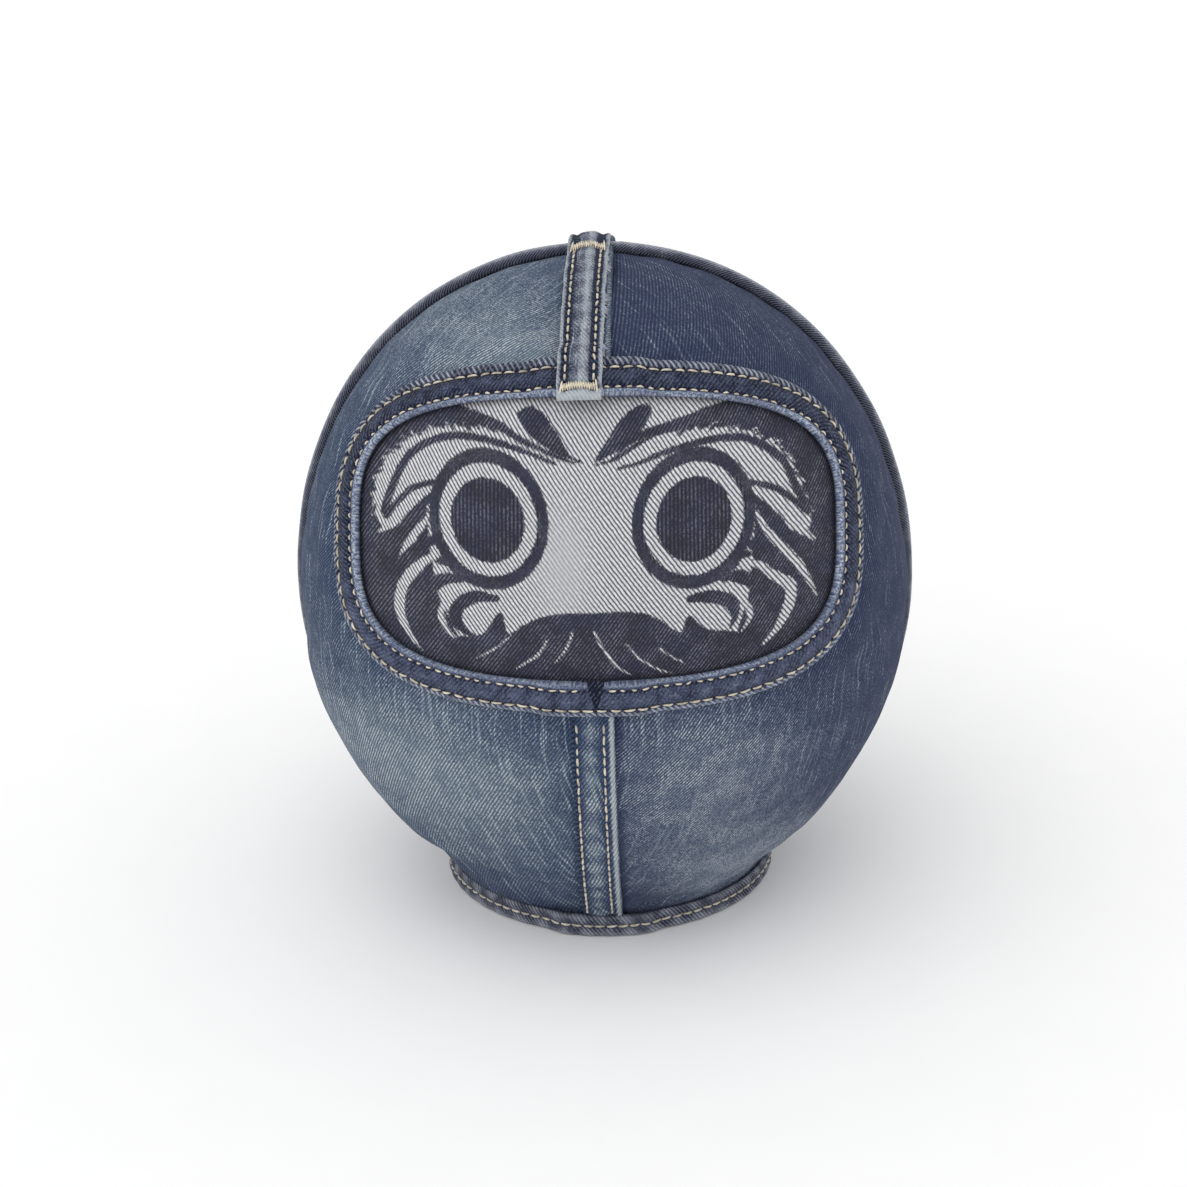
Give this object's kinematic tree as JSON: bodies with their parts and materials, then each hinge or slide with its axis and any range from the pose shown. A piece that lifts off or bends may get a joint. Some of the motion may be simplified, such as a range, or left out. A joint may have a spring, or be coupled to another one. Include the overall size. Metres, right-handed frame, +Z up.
{
  "type": "daruma doll",
  "caption": "Stuffed round daruma doll sewn from denim, with a banded face window, piped side seam, belt-loop strap over the crown and a flat weighted base to stand on.",
  "frame": {"origin": "on the floor under the middle of the doll, at the centre of the hem ring's flat underside", "axes": "+Z up through the crown, -Y out of the face, +X to the right of someone looking at the face"},
  "size_m": [0.1652, 0.1562, 0.1796],
  "materials": {
    "denim_faded_blue": "matte",
    "denim_dark_blue": "matte",
    "denim_mid_blue": "matte",
    "denim_reverse": "matte",
    "denim_band": "matte",
    "thread_cream": "matte",
    "denim_pale": "matte",
    "denim_piping": "matte",
    "cotton_cord": "matte",
    "denim_hem": "matte",
    "grey_board": "matte",
    "polyester_fibre": "matte",
    "cotton_muslin": "matte",
    "plastic_pellets": "matte"
  },
  "bodies": {
    "root": {"front_panel_left": "denim_faded_blue", "front_panel_right": "denim_dark_blue", "back_panel_left": "denim_mid_blue", "back_panel_right": "denim_mid_blue", "face_panel": "denim_reverse", "window_band": "denim_band", "window_stitch_inner": "thread_cream", "window_stitch_outer": "thread_cream", "front_seam_stitch_left": "thread_cream", "front_seam_stitch_right": "thread_cream", "back_seam_stitch_left": "thread_cream", "back_seam_stitch_right": "thread_cream", "loop_stitch_left": "thread_cream", "loop_stitch_right": "thread_cream", "bartack_crown": "thread_cream", "bartack_window": "thread_cream", "hem_stitch": "thread_cream", "base_stitch": "thread_cream", "belt_loop": "denim_pale", "piping_cover": "denim_piping", "piping_cord": "cotton_cord", "base_hem": "denim_hem", "base_panel": "denim_hem", "base_board": "grey_board", "fibre_filling": "polyester_fibre", "weight_bag": "cotton_muslin", "bag_tie": "cotton_cord", "weight_pellets": "plastic_pellets"}
  },
  "joints": []
}
